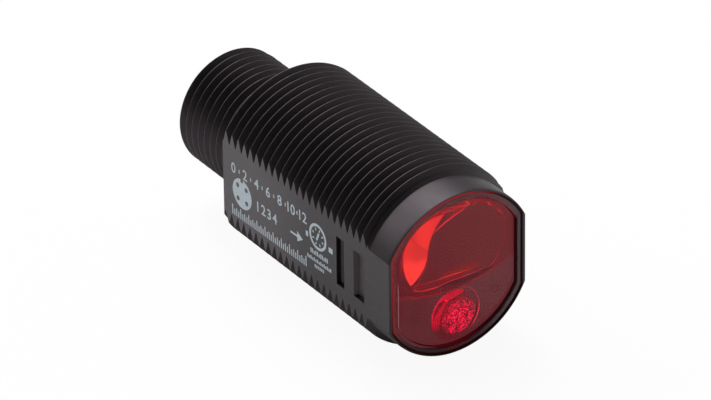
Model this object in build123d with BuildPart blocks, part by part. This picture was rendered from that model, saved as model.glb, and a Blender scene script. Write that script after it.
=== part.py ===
"""Cylindrical photoelectric sensor: an M18 x 1 threaded barrel with two flats, a D-shaped
front window over a receiving and an emitting lens, and an M12 x 1 four-pin plug at the rear.

Millimetres. +X points out of the lens along the barrel axis, +Z is up, on the side of the
large receiving lens, and the origin lies on the axis in the barrel's rear end face.
"""
from build123d import *
import os
from math import cos, radians, sin, sqrt

os.makedirs("parts", exist_ok=True)

# ---- Driving dimensions -----------------------------------------------------------------
# Barrel
barrel_thread_diameter = 18.0
barrel_thread_depth = 0.613
barrel_thread_length = 23.5
barrel_lead_in = 0.15
head_length = 3.1
across_flats = 15.1
barrel_wall = 1.05
rear_wall = 1.2
rim_wall = 0.30
rim_chamfer_width = 0.05
rim_chamfer_length = 0.35

# Recesses in the two flats: the front one is blind, the rear one holds the snap nose
snap_slot_rear = 18.3
snap_slot_width = 1.2
snap_slot_height = 5.1
blind_slot_rear = 21.0
blind_slot_width = 1.67
blind_slot_height = 4.92
blind_slot_depth = 0.55
blind_slot_slope = 0.30

# Front window and its gasket
window_recess = 0.12
window_flange_thickness = 0.55
window_step_thickness = 0.15
window_border = 0.60
window_dish_depth = 0.34
window_chamfer = 0.06
window_gasket_thickness = 0.15
window_gasket_width = 0.55

# Lenses
lens_flange_thickness = 0.70
lens_gap = 0.10
divider_radius = 14.0
divider_low = 1.62
receiver_bottom = 0.40
receiver_corner_radius = 1.5
receiver_curve_radius = 12.0
receiver_thickness = 2.6
emitter_lens_radius = 2.6
emitter_curve_radius = 4.0
emitter_lens_thickness = 1.5

# Optics carrier
carrier_length = 7.08
carrier_top_wall = 0.44
carrier_side_wall = 0.75
carrier_bottom_wall = 0.34
throat_depth = 3.2
throat_side_step = 2.0
throat_level_step = 1.2
snap_arm_length = 3.4
snap_arm_thickness = 1.0
snap_arm_relief = 0.6
snap_arm_slit = 0.3
snap_nose_below_flat = 0.35
snap_nose_gap = 0.15
peg_radius = 0.5
peg_height_above_board = 0.3
peg_spread = 3.4
peg_level = -1.0
hood_wall = 0.45

# Circuit boards
optics_board_thickness = 0.8
optics_board_half_width = 4.5
main_board_thickness = 1.0
main_board_height = 12.0
main_board_length = 12.6

# Optical parts
photodiode_width = 3.0
photodiode_height = 3.2
photodiode_thickness = 1.1
photodiode_drop = 0.3
sensing_area = 2.0
sensing_recess = 0.1
led_width = 2.2
led_base_thickness = 0.7
led_dome_radius = 0.8

# Links between the boards
link_count = 4
link_pitch = 1.27
link_thickness = 0.4
link_overlap = 1.6

# Parts on the main board
part_margin = 0.4
chip_part_count = 4
chip_part_pitch = 2.4
chip_size = 4.0
chip_thickness = 0.9
shield_length = 6.0
shield_height = 7.0
shield_depth = 1.9
shield_wall = 0.2
regulator_length = 3.0
regulator_height = 1.7
regulator_thickness = 1.1
transistor_length = 2.9
transistor_height = 1.3
transistor_thickness = 1.0
transistor_pitch = 3.2
tantalum_length = 3.5
tantalum_height = 2.8
tantalum_thickness = 1.9
chip_capacitor_length = 1.6
chip_capacitor_height = 0.8
chip_capacitor_thickness = 0.8
resistor_length = 1.6
resistor_height = 0.8
resistor_thickness = 0.45
diode_length = 2.6
diode_height = 1.6
diode_thickness = 1.1
indicator_length = 1.6
indicator_height = 0.8
indicator_thickness = 0.7

# Rear plug
plug_thread_diameter = 11.95
plug_thread_depth = 0.613
plug_thread_length = 9.2
plug_relief_length = 0.73
plug_lead_in = 0.20
plug_neck_step = 0.225
plug_flange_thickness = 1.0
plug_seal_width = 0.7
plug_seal_depth = 0.5
socket_radius = 4.25
socket_depth = 7.5
socket_step = 0.45
socket_front_length = 1.2
key_width = 1.2
key_height = 0.6
key_set_back = 1.0
carrier_insert_length = 3.8
potting_thickness = 1.0
contact_circle_diameter = 5.8
contact_diameter = 1.0
contact_set_back = 2.0
contact_tail_diameter = 0.6
contact_tail_overlap = 1.4
contact_straight_tail = 0.5
contact_tip_chamfer = 0.2

# Clearances
slide_gap = 0.05
seat_gap = 0.08
hole_gap = 0.05

# ---- Derived dimensions -------------------------------------------------------------------
crest_radius = barrel_thread_diameter / 2
root_radius = crest_radius - barrel_thread_depth
half_flats = across_flats / 2
bore_radius = root_radius - barrel_wall
bore_half_width = half_flats - barrel_wall
front = barrel_thread_length + head_length

window_radius = root_radius - rim_wall - slide_gap
window_half_width = half_flats - rim_wall - slide_gap
plug_in_radius = bore_radius - seat_gap
plug_in_half_width = bore_half_width - seat_gap
window_face = front - window_recess
flange_back = window_face - window_flange_thickness
ledge = flange_back - window_gasket_thickness
window_back = flange_back - window_step_thickness
lens_back = window_back - lens_flange_thickness

carrier_front = lens_back
carrier_back = carrier_front - carrier_length
carrier_radius = bore_radius - slide_gap
carrier_half_width = bore_half_width - slide_gap
divider_centre = divider_radius - divider_low
receiver_top_radius = carrier_radius - carrier_top_wall
receiver_half_width = carrier_half_width - carrier_side_wall
receiver_centre = (receiver_top_radius - receiver_bottom) / 2
receiver_height = receiver_top_radius + receiver_bottom
emitter_height = carrier_bottom_wall + emitter_lens_radius - carrier_radius
photodiode_level = receiver_centre - photodiode_drop

optics_board_back = carrier_back - optics_board_thickness
main_board_front = optics_board_back
main_board_rear = main_board_front - main_board_length
board_face = main_board_thickness / 2

plug_crest_radius = plug_thread_diameter / 2
plug_root_radius = plug_crest_radius - plug_thread_depth
plug_tip = -plug_relief_length - plug_thread_length
plug_neck_radius = plug_crest_radius + plug_neck_step
plug_hole_radius = plug_neck_radius + slide_gap
plug_seal_rear = (rear_wall - plug_seal_width) / 2
plug_back = rear_wall + plug_flange_thickness
socket_floor = plug_tip + socket_depth
insert_shoulder = socket_floor + socket_front_length
insert_back = socket_floor + carrier_insert_length
potting_back = insert_back + potting_thickness
rear_socket_radius = socket_radius + socket_step
contact_radius = contact_diameter / 2
tail_radius = contact_tail_diameter / 2
contact_tip = plug_tip + contact_set_back
pin_offset = contact_circle_diameter / 2 * cos(radians(45))


# ---- Shared shapes ------------------------------------------------------------------------
def double_d(radius, half_width):
    """A circle with a flat on each side, drawn across the barrel axis."""
    Circle(radius)
    Rectangle(2 * half_width, 2 * radius, mode=Mode.INTERSECT)


def receiver_outline(gap=0.0):
    """The receiving lens from the front: a round top, straight sides and a flat bottom."""
    bottom = -receiver_bottom - gap
    Circle(receiver_top_radius + gap)
    with Locations((0, bottom)):
        Rectangle(
            2 * (receiver_half_width + gap),
            2 * receiver_top_radius,
            align=(Align.CENTER, Align.MIN),
            mode=Mode.INTERSECT,
        )


def board_block(along, up, length, height, thickness, side=1):
    """A block that sits on one face of the main board, at a place along and up the board."""
    with Locations((along, side * (board_face + thickness / 2), up)):
        Box(length, thickness, height)


def finish(piece, name):
    """Label a finished piece and write it out."""
    piece.part.label = name
    export_step(piece.part, "parts/" + name + ".step")


# ---- Barrel -------------------------------------------------------------------------------
with BuildPart() as housing:
    # threaded length at its crest diameter, then the plain head at the thread's root diameter
    thread_end = barrel_thread_length - barrel_thread_depth
    with BuildSketch(Plane.XZ):
        with BuildLine():
            Polyline(
                (0, 0),
                (0, crest_radius - barrel_lead_in),
                (barrel_lead_in, crest_radius),
                (thread_end, crest_radius),
                (barrel_thread_length, root_radius),
                (front, root_radius),
                (front, 0),
                close=True,
            )
        make_face()
    revolve(axis=Axis.X)
    # the two flats
    with BuildSketch(Plane.YZ):
        Rectangle(across_flats, 2 * barrel_thread_diameter)
    extrude(amount=front, mode=Mode.INTERSECT)
    # a long, shallow bevel round the rim
    rim = housing.faces().sort_by(Axis.X)[-1]
    chamfer(rim.edges(), rim_chamfer_width, rim_chamfer_length, reference=rim)
    # the hollow for the works, with the same two flats
    with BuildSketch(Plane.YZ.offset(rear_wall)):
        double_d(bore_radius, bore_half_width)
    extrude(amount=front - rear_wall, mode=Mode.SUBTRACT)
    # the shallow seat of the window
    with BuildSketch(Plane.YZ.offset(ledge)):
        double_d(window_radius + slide_gap, window_half_width + slide_gap)
    extrude(amount=front - ledge, mode=Mode.SUBTRACT)
    # the hole that the plug comes out of
    with BuildSketch(Plane.YZ):
        Circle(plug_hole_radius)
    extrude(amount=rear_wall, mode=Mode.SUBTRACT)
    # snap slots, right through both walls
    with BuildSketch(Plane.XZ):
        with Locations((snap_slot_rear + snap_slot_width / 2, 0)):
            Rectangle(snap_slot_width, snap_slot_height)
    extrude(amount=across_flats, both=True, mode=Mode.SUBTRACT)
    # blind slots with a sloping rear end
    with BuildSketch(Plane.XY.offset(-blind_slot_height / 2)):
        for side in (-1, 1):
            with BuildLine():
                Polyline(
                    (blind_slot_rear - blind_slot_slope, side * (half_flats + blind_slot_depth)),
                    (blind_slot_rear + blind_slot_slope, side * (half_flats - blind_slot_depth)),
                    (blind_slot_rear + blind_slot_width, side * (half_flats - blind_slot_depth)),
                    (blind_slot_rear + blind_slot_width, side * (half_flats + blind_slot_depth)),
                    close=True,
                )
            make_face()
    extrude(amount=blind_slot_height, mode=Mode.SUBTRACT)
finish(housing, "housing")

# ---- Front window and gasket --------------------------------------------------------------
with BuildPart() as front_window:
    with BuildSketch(Plane.YZ.offset(flange_back)):
        double_d(window_radius, window_half_width)
    extrude(amount=window_flange_thickness)
    chamfer(front_window.faces().sort_by(Axis.X)[-1].edges(), window_chamfer)
    # the shallow dish inside its raised border
    with BuildSketch(Plane.YZ.offset(window_face)):
        double_d(window_radius - window_border, window_half_width - window_border)
    extrude(amount=-window_dish_depth, mode=Mode.SUBTRACT)
    # the step that drops into the head
    with BuildSketch(Plane.YZ.offset(window_back)):
        double_d(plug_in_radius, plug_in_half_width)
    extrude(amount=window_step_thickness)
finish(front_window, "front_window")

with BuildPart() as window_gasket:
    with BuildSketch(Plane.YZ.offset(ledge)):
        double_d(window_radius, window_half_width)
        offset(amount=-window_gasket_width, kind=Kind.INTERSECTION, mode=Mode.SUBTRACT)
    extrude(amount=window_gasket_thickness)
finish(window_gasket, "window_gasket")

# ---- Lenses -------------------------------------------------------------------------------
with BuildPart() as receiver_lens:
    # the lens body, domed at the rear
    with BuildSketch(Plane.YZ.offset(lens_back - receiver_thickness)) as dome:
        receiver_outline()
        lower_corners = dome.vertices().group_by(Axis.Z)[0]
        fillet(lower_corners, receiver_corner_radius)
    extrude(amount=receiver_thickness + lens_flange_thickness)
    dome_centre = lens_back - receiver_thickness + receiver_curve_radius
    with Locations((dome_centre, 0, receiver_centre)):
        Sphere(receiver_curve_radius, mode=Mode.INTERSECT)
    # its flange, down to the curved joint with the emitting lens
    with BuildSketch(Plane.YZ.offset(lens_back)):
        double_d(plug_in_radius, plug_in_half_width)
        with Locations((0, divider_centre)):
            Circle(divider_radius - lens_gap / 2, mode=Mode.INTERSECT)
    extrude(amount=lens_flange_thickness)
finish(receiver_lens, "receiver_lens")

with BuildPart() as emitter_lens:
    with BuildSketch(Plane.YZ.offset(lens_back - emitter_lens_thickness)):
        with Locations((0, emitter_height)):
            Circle(emitter_lens_radius)
    extrude(amount=emitter_lens_thickness)
    with Locations((lens_back - emitter_lens_thickness + emitter_curve_radius, 0, emitter_height)):
        Sphere(emitter_curve_radius, mode=Mode.INTERSECT)
    with BuildSketch(Plane.YZ.offset(lens_back)):
        double_d(plug_in_radius, plug_in_half_width)
        with Locations((0, divider_centre)):
            Circle(divider_radius + lens_gap / 2, mode=Mode.SUBTRACT)
    extrude(amount=lens_flange_thickness)
finish(emitter_lens, "emitter_lens")

# ---- Optics carrier -----------------------------------------------------------------------
arm_outer = carrier_half_width
arm_inner = arm_outer - snap_arm_thickness
arm_middle = (arm_outer + arm_inner) / 2
relief_inner = arm_inner - snap_arm_relief
nose_rear = snap_slot_rear + snap_nose_gap
nose_width = snap_slot_width - 2 * snap_nose_gap
nose_height = snap_slot_height - 2 * snap_nose_gap
nose_top = half_flats - snap_nose_below_flat
throat_back = carrier_front - throat_depth
hood_outer_radius = emitter_lens_radius

with BuildPart() as optics_carrier:
    with BuildSketch(Plane.YZ.offset(carrier_back)):
        double_d(carrier_radius, carrier_half_width)
    extrude(amount=carrier_length)
    # receiving chamber: a pocket for the lens, then a hood that narrows to the photodiode
    with BuildSketch(Plane.YZ.offset(throat_back)) as pocket:
        receiver_outline(seat_gap)
        fillet(pocket.vertices().group_by(Axis.Z)[0], receiver_corner_radius)
    extrude(amount=throat_depth, mode=Mode.SUBTRACT)
    with BuildSketch(Plane.YZ.offset(throat_back)):
        with Locations((0, receiver_centre)):
            Rectangle(
                2 * (receiver_half_width - throat_side_step),
                receiver_height - 2 * throat_level_step,
            )
    with BuildSketch(Plane.YZ.offset(carrier_back)):
        with Locations((0, photodiode_level)):
            Rectangle(photodiode_width + 4 * seat_gap, photodiode_height + 4 * seat_gap)
    loft(mode=Mode.SUBTRACT)
    # emitting bore
    with BuildSketch(Plane.YZ.offset(carrier_back)):
        with Locations((0, emitter_height)):
            Circle(emitter_lens_radius + slide_gap)
    extrude(amount=carrier_length, mode=Mode.SUBTRACT)
    # spring arms on both sides: slits above and below, and room behind to bend into
    with BuildSketch(Plane.YZ.offset(carrier_back)):
        for side in (-1, 1):
            with Locations((side * (arm_inner + relief_inner) / 2, 0)):
                Rectangle(snap_arm_relief, nose_height + 2 * snap_arm_slit)
            with Locations((side * (arm_outer + arm_inner) / 2, 0)):
                with GridLocations(0, nose_height + snap_arm_slit, 1, 2):
                    Rectangle(snap_arm_thickness + 2 * slide_gap, snap_arm_slit)
    extrude(amount=snap_arm_length, mode=Mode.SUBTRACT)
    # the snap noses, ramped towards the front so that they slide in
    with BuildSketch(Plane.XY.offset(-nose_height / 2)):
        for side in (-1, 1):
            with BuildLine():
                Polyline(
                    (nose_rear, side * arm_middle),
                    (nose_rear, side * nose_top),
                    (nose_rear + nose_width / 2, side * nose_top),
                    (nose_rear + nose_width, side * arm_outer),
                    (nose_rear + nose_width, side * arm_middle),
                    close=True,
                )
            make_face()
    extrude(amount=nose_height)
    # pegs that hold the optics board
    with BuildSketch(Plane.YZ.offset(carrier_back)):
        with Locations((-peg_spread, peg_level), (peg_spread, peg_level)):
            Circle(peg_radius)
    extrude(amount=-optics_board_thickness - peg_height_above_board)
finish(optics_carrier, "optics_carrier")

with BuildPart() as emitter_hood:
    hood_length = carrier_length - emitter_lens_thickness
    with BuildSketch(Plane.YZ.offset(carrier_back)):
        with Locations((0, emitter_height)):
            Circle(hood_outer_radius)
    extrude(amount=hood_length)
    # a straight room for the light source, then a cone that opens towards the lens
    with BuildSketch(Plane.YZ.offset(carrier_back)):
        with Locations((0, emitter_height)):
            Circle(led_width * sqrt(2) / 2 + seat_gap)
    with BuildSketch(Plane.YZ.offset(carrier_back + hood_length)):
        with Locations((0, emitter_height)):
            Circle(hood_outer_radius - hood_wall)
    loft(mode=Mode.SUBTRACT)
finish(emitter_hood, "emitter_hood")

# ---- Optics board and its parts -----------------------------------------------------------
link_offset = board_face + link_thickness / 2
link_span = (link_count - 1) * link_pitch + link_thickness

with BuildPart() as optics_board:
    with BuildSketch(Plane.YZ.offset(optics_board_back)):
        double_d(carrier_radius, optics_board_half_width)
        with Locations((-peg_spread, peg_level), (peg_spread, peg_level)):
            Circle(peg_radius + hole_gap, mode=Mode.SUBTRACT)
        with Locations((link_offset, 0)):
            Rectangle(
                link_thickness + 2 * hole_gap,
                link_span + 2 * hole_gap,
                mode=Mode.SUBTRACT,
            )
    extrude(amount=optics_board_thickness)
finish(optics_board, "optics_board")

with BuildPart() as photodiode:
    with BuildSketch(Plane.YZ.offset(carrier_back)):
        with Locations((0, photodiode_level)):
            Rectangle(photodiode_width, photodiode_height)
    extrude(amount=photodiode_thickness)
    with BuildSketch(Plane.YZ.offset(carrier_back + photodiode_thickness - sensing_recess)):
        with Locations((0, photodiode_level)):
            Rectangle(sensing_area, sensing_area)
    extrude(amount=sensing_recess, mode=Mode.SUBTRACT)
finish(photodiode, "photodiode")

with BuildPart() as emitter_led:
    with BuildSketch(Plane.YZ.offset(carrier_back)):
        with Locations((0, emitter_height)):
            Rectangle(led_width, led_width)
    extrude(amount=led_base_thickness)
    with Locations((carrier_back + led_base_thickness, 0, emitter_height)):
        Sphere(led_dome_radius)
    # the dome stands on the base, with nothing below the board's face
    with BuildSketch(Plane.YZ.offset(carrier_back)):
        with Locations((0, emitter_height)):
            Rectangle(2 * led_width, 2 * led_width)
    extrude(amount=led_base_thickness + led_dome_radius, mode=Mode.INTERSECT)
finish(emitter_led, "emitter_led")

with BuildPart() as board_link_pins:
    with BuildSketch(Plane.YZ.offset(optics_board_back - link_overlap)):
        with Locations((link_offset, 0)):
            with GridLocations(0, link_pitch, 1, link_count):
                Rectangle(link_thickness, link_thickness)
    extrude(amount=link_overlap + optics_board_thickness)
finish(board_link_pins, "board_link_pins")

# ---- Main board and its parts -------------------------------------------------------------
board_middle = (main_board_front + main_board_rear) / 2
signal_middle = main_board_front - link_overlap - part_margin - shield_length / 2
upper_row = main_board_height / 2 - part_margin
lower_row = -upper_row

with BuildPart() as main_board:
    with Locations((board_middle, 0, 0)):
        Box(main_board_length, main_board_thickness, main_board_height)
finish(main_board, "main_board")

with BuildPart() as signal_chip:
    board_block(signal_middle, 0, chip_size, chip_size, chip_thickness)
finish(signal_chip, "signal_chip")

with BuildPart() as shield_can:
    board_block(signal_middle, 0, shield_length, shield_height, shield_depth)
    with Locations((signal_middle, board_face + (shield_depth - shield_wall) / 2, 0)):
        Box(
            shield_length - 2 * shield_wall,
            shield_depth - shield_wall,
            shield_height - 2 * shield_wall,
            mode=Mode.SUBTRACT,
        )
finish(shield_can, "shield_can")

with BuildPart() as voltage_regulator:
    board_block(
        board_middle + part_margin + regulator_length / 2,
        upper_row - regulator_height / 2,
        regulator_length,
        regulator_height,
        regulator_thickness,
        side=-1,
    )
finish(voltage_regulator, "voltage_regulator")

with BuildPart() as filter_capacitor:
    board_block(
        board_middle - part_margin - tantalum_length / 2,
        upper_row - tantalum_height / 2,
        tantalum_length,
        tantalum_height,
        tantalum_thickness,
        side=-1,
    )
finish(filter_capacitor, "filter_capacitor")

with BuildPart() as output_transistors:
    for level in (-0.5, 0.5):
        board_block(
            board_middle + part_margin + transistor_length / 2,
            level * transistor_pitch,
            transistor_length,
            transistor_height,
            transistor_thickness,
            side=-1,
        )
finish(output_transistors, "output_transistors")

with BuildPart() as protection_diode:
    board_block(
        board_middle - part_margin - diode_length / 2,
        0,
        diode_length,
        diode_height,
        diode_thickness,
        side=-1,
    )
finish(protection_diode, "protection_diode")

with BuildPart() as ceramic_capacitors:
    for number in range(chip_part_count):
        board_block(
            board_middle + (number - (chip_part_count - 1) / 2) * chip_part_pitch,
            lower_row + chip_capacitor_height / 2,
            chip_capacitor_length,
            chip_capacitor_height,
            chip_capacitor_thickness,
            side=-1,
        )
finish(ceramic_capacitors, "ceramic_capacitors")

with BuildPart() as resistors:
    for number in range(chip_part_count):
        board_block(
            board_middle + (number - (chip_part_count - 1) / 2) * chip_part_pitch,
            lower_row + resistor_height / 2,
            resistor_length,
            resistor_height,
            resistor_thickness,
        )
finish(resistors, "resistors")

with BuildPart() as indicator_led:
    board_block(
        main_board_rear + part_margin + indicator_length / 2,
        upper_row - indicator_height / 2,
        indicator_length,
        indicator_height,
        indicator_thickness,
    )
finish(indicator_led, "indicator_led")

# ---- Rear plug ----------------------------------------------------------------------------
with BuildPart() as connector_shell:
    # lead-in, thread at its crest diameter, relief groove, neck in the barrel's rear hole
    plug_thread_end = plug_tip + plug_thread_length
    with BuildSketch(Plane.XZ):
        with BuildLine():
            Polyline(
                (plug_tip, 0),
                (plug_tip, plug_crest_radius - plug_lead_in),
                (plug_tip + plug_lead_in, plug_crest_radius),
                (plug_thread_end - plug_thread_depth, plug_crest_radius),
                (plug_thread_end, plug_root_radius),
                (0, plug_root_radius),
                (0, plug_neck_radius),
                (plug_seal_rear, plug_neck_radius),
                (plug_seal_rear, plug_neck_radius - plug_seal_depth),
                (plug_seal_rear + plug_seal_width, plug_neck_radius - plug_seal_depth),
                (plug_seal_rear + plug_seal_width, plug_neck_radius),
                (rear_wall, plug_neck_radius),
                (rear_wall, 0),
                close=True,
            )
        make_face()
    revolve(axis=Axis.X)
    # flange that bears on the rear wall from inside
    with BuildSketch(Plane.YZ.offset(rear_wall)):
        double_d(bore_radius - seat_gap, bore_half_width - seat_gap)
    extrude(amount=plug_flange_thickness)
    # socket round the contacts, and a wider step that the contact carrier seats in
    with BuildSketch(Plane.YZ.offset(plug_tip)):
        Circle(socket_radius)
    extrude(amount=plug_back - plug_tip, mode=Mode.SUBTRACT)
    with BuildSketch(Plane.YZ.offset(insert_shoulder)):
        Circle(rear_socket_radius)
    extrude(amount=plug_back - insert_shoulder, mode=Mode.SUBTRACT)
    # coding key along the top of the socket
    with BuildSketch(Plane.YZ.offset(plug_tip + key_set_back)):
        with Locations((0, socket_radius - key_height)):
            Rectangle(key_width, 2 * key_height, align=(Align.CENTER, Align.MIN))
    extrude(amount=socket_floor - plug_tip - key_set_back)
finish(connector_shell, "connector_shell")

with BuildPart() as connector_seal:
    with BuildSketch(Plane.YZ.offset(plug_seal_rear)):
        Circle(plug_hole_radius)
        Circle(plug_neck_radius - plug_seal_depth, mode=Mode.SUBTRACT)
    extrude(amount=plug_seal_width)
finish(connector_seal, "connector_seal")

contact_places = [(y * pin_offset, z * pin_offset) for y, z in ((1, 1), (-1, 1), (-1, -1), (1, -1))]

with BuildPart() as contact_carrier:
    with BuildSketch(Plane.YZ.offset(socket_floor)):
        Circle(socket_radius - slide_gap)
    extrude(amount=insert_back - socket_floor)
    with BuildSketch(Plane.YZ.offset(insert_shoulder)):
        Circle(rear_socket_radius - slide_gap)
    extrude(amount=insert_back - insert_shoulder)
    with BuildSketch(Plane.YZ.offset(socket_floor)):
        with Locations(*contact_places):
            Circle(contact_radius)
    extrude(amount=insert_back - socket_floor, mode=Mode.SUBTRACT)
finish(contact_carrier, "contact_carrier")

with BuildPart() as contact_potting:
    with BuildSketch(Plane.YZ.offset(insert_back)):
        Circle(rear_socket_radius)
        with Locations(*contact_places):
            Circle(tail_radius, mode=Mode.SUBTRACT)
    extrude(amount=potting_thickness)
finish(contact_potting, "contact_potting")

# each contact: a pin with a chamfered tip, then a thin tail that bends in to the board's face
tail_bend = potting_back + contact_straight_tail
tail_end = main_board_rear + contact_tail_overlap
for number, (y, z) in enumerate(contact_places, start=1):
    landing = (board_face + tail_radius) * (1 if y > 0 else -1)
    with BuildPart() as contact_pin:
        with BuildSketch(Plane.YZ.offset(contact_tip)):
            with Locations((y, z)):
                Circle(contact_radius)
        extrude(amount=insert_back - contact_tip)
        chamfer(contact_pin.faces().sort_by(Axis.X)[0].edges(), contact_tip_chamfer)
        with BuildLine() as tail:
            Polyline(
                (insert_back, y, z),
                (tail_bend, y, z),
                (tail_bend + abs(y - landing), landing, z),
                (tail_end, landing, z),
            )
        with BuildSketch(Plane.YZ.offset(insert_back)) as tail_section:
            with Locations((y, z)):
                Circle(tail_radius)
        sweep(sections=tail_section.sketch, path=tail.wire(), transition=Transition.RIGHT)
    finish(contact_pin, f"contact_pin_{number}")
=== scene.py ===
"""Looks of a cylindrical photoelectric sensor: the moulded M18 barrel and M12 plug with their real
threads, the red front window, the two lenses, the contacts and the electronics inside.

Shapes are drawn in millimetres and laid down in metres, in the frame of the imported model: +X is out
of the lens, +Z is up, and the origin is on the axis in the barrel's rear end face.
"""

from math import atan, cos, pi, radians, sin

import bmesh
import bpy
from mathutils import Matrix, Vector


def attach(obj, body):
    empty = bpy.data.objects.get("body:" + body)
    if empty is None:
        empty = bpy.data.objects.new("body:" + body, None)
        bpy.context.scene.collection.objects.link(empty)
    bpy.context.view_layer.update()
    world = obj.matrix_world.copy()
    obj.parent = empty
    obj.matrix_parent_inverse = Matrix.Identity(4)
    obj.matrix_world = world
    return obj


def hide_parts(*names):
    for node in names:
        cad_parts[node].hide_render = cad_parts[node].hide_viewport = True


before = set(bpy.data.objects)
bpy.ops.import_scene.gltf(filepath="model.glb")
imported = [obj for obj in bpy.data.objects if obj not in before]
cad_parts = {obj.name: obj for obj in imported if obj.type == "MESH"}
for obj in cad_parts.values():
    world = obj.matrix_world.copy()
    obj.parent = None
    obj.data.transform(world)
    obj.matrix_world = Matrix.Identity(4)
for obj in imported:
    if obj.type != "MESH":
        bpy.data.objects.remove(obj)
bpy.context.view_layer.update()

MM = 0.001

# ---- Sizes, in millimetres ----
SLIVER = 0.001

BARREL_CREST = 9.0
BARREL_ROOT = 8.387
BARREL_FLAT = 7.545
BARREL_FRONT = 26.60
BARREL_BORE = 7.337
BARREL_BORE_FLAT = 6.5
BARREL_HOLE = 6.25
M18_FIRST_CREST = 0.158
BEVEL_START = 26.20
ROUNDING = 0.02
REAR_WALL = 1.2
MOUTH_FLOOR = 25.03
LEDGE = 25.78
SEAT_RADIUS = 8.22
SEAT_HALF = 7.26
SLOT_START = 18.3
SLOT_END = 19.5
SLOT_HALF = 2.55
BLIND_START = 20.7
BLIND_FLOOR = 21.3
BLIND_END = 22.67
BLIND_HALF = 2.46
BLIND_DEPTH = 0.36
PRINT_FACE = 7.549

PLUG_CREST = 5.975
PLUG_ROOT = 5.362
PLUG_TIP = -9.93
PLUG_NECK = 6.2
PLUG_GROOVE = 5.7
PLUG_FLANGE = 7.257
PLUG_FLANGE_FLAT = 6.42
M12_FIRST_CREST = 0.92
SOCKET_BORE = 4.25
SOCKET_LEAD = 0.3
SOCKET_FLOOR = -1.23
CARRIER_BORE = 4.7
KEY_HALF = 0.6
KEY_HEIGHT = 3.65
KEY_END = -2.43

WINDOW_RADIUS = 8.037
WINDOW_FLAT = 7.2
WINDOW_FACE = 26.48
WINDOW_BACK = 25.93
WINDOW_HIDDEN = 25.785
WINDOW_PLAY = 0.035
DISH_FLOOR = 26.14
GASKET_WIDTH = 0.12

LENS_FACE = 25.77
FLANGE_BACK = 25.08
FLANGE_REACH = 7.88
FLANGE_HALF = 7.05
FLANGE_PLAY = 0.05
DIVIDER_SIDE = 0.29
DIVIDER_CENTRE = 12.06
DIVIDER_RADIUS = 14.21
DIVIDER_GAP = 0.01
RECEIVER_TIP = 22.48
RECEIVER_BALL = 12.0
RECEIVER_LEVEL = 3.2
EMITTER_TIP = 23.58
EMITTER_BALL = 4.0
EMITTER_BODY = 2.6
EMITTER_LEVEL = -4.35

# how the camera stands to the part: degrees, millimetres and pixels
CAMERA_AZIMUTH = 55.492
CAMERA_ELEVATION = 31.678
CAMERA_ROLL = -0.698
CAMERA_DISTANCE = 671.652
CAMERA_AIM = 6.709
CAMERA_RIGHT = 2.165
CAMERA_UP = -1.848
FOCAL_LENGTH = 7291.213
PICTURE_WIDTH = 711
FILM_WIDTH = 36.0

# a face square to an axis, and the bend in degrees from which an edge is sharp
SQUARE = 0.9999
SHARP_BEND = 32.0

WHITE = (1.0, 1.0, 1.0, 1.0)
# the colour of the painted light along the lenses' joint
JOINT_GLOW_RED = (0.300, 0.008, 0.014)
GLINT_PINK = (0.42, 0.20, 0.20)
LENS_DARK = (0.03, 0.002, 0.003)
WINDOW_DARK = (0.020, 0.0020, 0.0025)
WINDOW_LIGHT = (0.028, 0.0025, 0.003)


# ---- Finishes ----
class Wire:
    """A value running through a finish. Arithmetic on it adds Math nodes."""

    def __init__(self, finish, socket):
        self.finish = finish
        self.socket = socket

    def math(self, operation, *values):
        return self.finish.node("Math", {"operation": operation}, dict(enumerate(values)))

    def __add__(self, other):
        return self.math("ADD", self, other)

    def __radd__(self, other):
        return self.math("ADD", other, self)

    def __sub__(self, other):
        return self.math("SUBTRACT", self, other)

    def __rsub__(self, other):
        return self.math("SUBTRACT", other, self)

    def __mul__(self, other):
        return self.math("MULTIPLY", self, other)

    def __rmul__(self, other):
        return self.math("MULTIPLY", other, self)

    def __pow__(self, other):
        return self.math("POWER", self, other)

    def __abs__(self):
        return self.math("ABSOLUTE", self)

    def sine(self):
        return self.math("SINE", self)

    def least(self, other):
        return self.math("MINIMUM", self, other)

    def most(self, other):
        return self.math("MAXIMUM", self, other)

    def ramp(self, low, high):
        """0 below low, 1 above high, smooth between. It falls where low is above high."""
        limits = {"Value": self, "From Min": low, "From Max": high}
        return self.finish.node("MapRange", {"interpolation_type": "SMOOTHSTEP"}, limits)


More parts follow.
